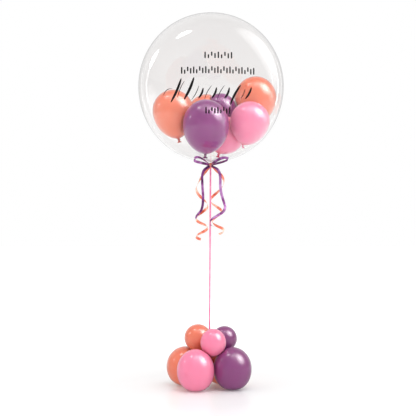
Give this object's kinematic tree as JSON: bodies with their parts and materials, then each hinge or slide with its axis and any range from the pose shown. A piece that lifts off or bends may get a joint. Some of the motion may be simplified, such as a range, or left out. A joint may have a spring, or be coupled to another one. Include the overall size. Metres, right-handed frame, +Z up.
{
  "type": "clear bubble balloon",
  "caption": "Clear film bubble holding small latex balloons, tied with a curled ribbon bow, on a ribbon stem above a cluster of base balloons.",
  "frame": {"origin": "on the floor, under the centre of the bubble", "axes": "+Z up along the stem; -Y is the front, where the bow and the message face; +X is to the right seen from the front"},
  "size_m": [0.508, 0.508, 1.313],
  "materials": {
    "clear_film": "clear, glossy stretched film",
    "coral_latex": "glossy coral latex",
    "pink_latex": "glossy pink latex",
    "purple_latex": "glossy purple latex",
    "purple_ribbon": "pearly purple curling ribbon",
    "coral_ribbon": "pearly coral curling ribbon",
    "pink_ribbon": "satin pink curling ribbon"
  },
  "bodies": {
    "root": {"bubble": "clear_film", "bow_knot": "coral_ribbon", "bow_loop_left": "purple_ribbon", "bow_loop_right": "purple_ribbon", "purple_tail_left": "purple_ribbon", "purple_tail_right": "purple_ribbon", "coral_tail_left": "coral_ribbon", "coral_tail_right": "coral_ribbon", "stem_ribbon": "pink_ribbon", "base_balloon_pink": "pink_latex", "base_balloon_purple": "purple_latex", "base_balloon_coral_left": "coral_latex", "base_balloon_coral_back": "coral_latex", "top_balloon_pink": "pink_latex", "top_balloon_purple": "purple_latex", "top_balloon_coral": "coral_latex"}
  },
  "joints": []
}
